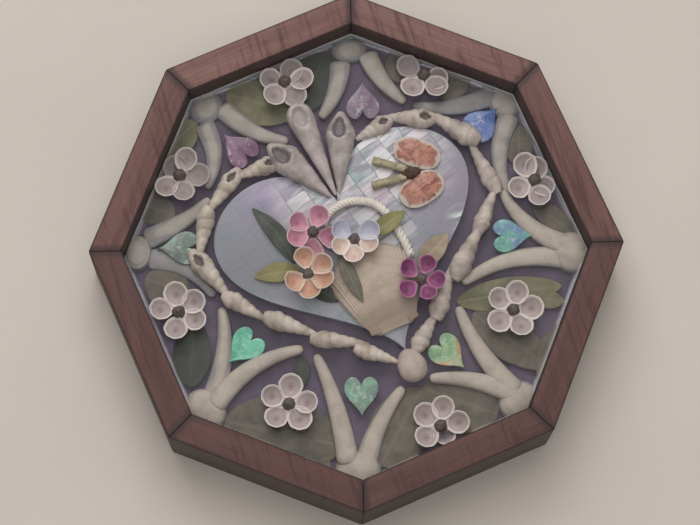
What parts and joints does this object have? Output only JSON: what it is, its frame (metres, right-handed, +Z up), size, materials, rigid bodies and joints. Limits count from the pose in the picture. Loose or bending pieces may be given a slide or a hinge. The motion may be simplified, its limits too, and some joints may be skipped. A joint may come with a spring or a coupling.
{
  "type": "shell box",
  "caption": "Octagonal mitred hardwood tray on its back, with a shell-work heart, flowers and tusk shells set in clear resin over a violet lining.",
  "frame": {"origin": "centre of the underside", "axes": "+Z up out of the open face, +Y towards the top of the heart"},
  "size_m": [0.2028, 0.2028, 0.035],
  "materials": {
    "abalone": "polished iridescent abalone",
    "clear_resin": "clear poured resin",
    "cream_shell": "cream shell with a soft gloss",
    "green_leaf": "dyed leaf, from dark to yellow green",
    "grey_shell": "grey-beige glossy shell",
    "mahogany": "oiled mahogany with dark cross marks and dark mitres",
    "mother_of_pearl": "polished silvery lilac mother-of-pearl",
    "orange_wing": "orange shell with pale edges",
    "peach_cup_shell": "peach cup shell",
    "pink_cup_shell": "pink cup shell",
    "purple_cup_shell": "deep magenta cup shell",
    "rope": "twisted cream cord, stiff in resin",
    "tan_scallop": "tan ribbed scallop",
    "violet_lining": "dusky violet backing",
    "white_cup_shell": "whitish cup shell with lilac hollows"
  },
  "bodies": {
    "root": {"abalone_heart_1": "abalone", "abalone_heart_2": "abalone", "abalone_heart_3": "abalone", "abalone_heart_4": "abalone", "abalone_heart_5": "abalone", "abalone_heart_6": "abalone", "abalone_heart_7": "abalone", "abalone_heart_8": "abalone", "base_board": "mahogany", "butterfly": "orange_wing", "clear_resin": "clear_resin", "corner_spray_1": "cream_shell", "corner_spray_2": "cream_shell", "corner_spray_3": "cream_shell", "corner_spray_4": "cream_shell", "corner_spray_5": "cream_shell", "corner_spray_6": "cream_shell", "corner_spray_7": "cream_shell", "corner_spray_8": "cream_shell", "heart_border_left": "cream_shell", "heart_border_right": "cream_shell", "leaf_left": "green_leaf", "leaf_low": "green_leaf", "leaf_olive": "green_leaf", "leaf_on_scallop": "green_leaf", "leaf_right": "green_leaf", "leaf_tall": "green_leaf", "lining": "violet_lining", "long_shell_left": "grey_shell", "long_shell_middle": "grey_shell", "long_shell_right": "grey_shell", "peach_flower": "peach_cup_shell", "pearl_heart": "mother_of_pearl", "pink_flower": "pink_cup_shell", "purple_flower": "purple_cup_shell", "rail_bottom": "mahogany", "rail_bottom_left": "mahogany", "rail_bottom_right": "mahogany", "rail_left": "mahogany", "rail_right": "mahogany", "rail_top": "mahogany", "rail_top_left": "mahogany", "rail_top_right": "mahogany", "rim_flower_bottom": "white_cup_shell", "rim_flower_bottom_left": "white_cup_shell", "rim_flower_bottom_right": "white_cup_shell", "rim_flower_left": "white_cup_shell", "rim_flower_right": "white_cup_shell", "rim_flower_top": "white_cup_shell", "rim_flower_top_left": "white_cup_shell", "rim_flower_top_right": "white_cup_shell", "rope_handle": "rope", "scallop_basket": "tan_scallop", "tip_shell": "cream_shell", "white_flower": "white_cup_shell"}
  },
  "joints": []
}
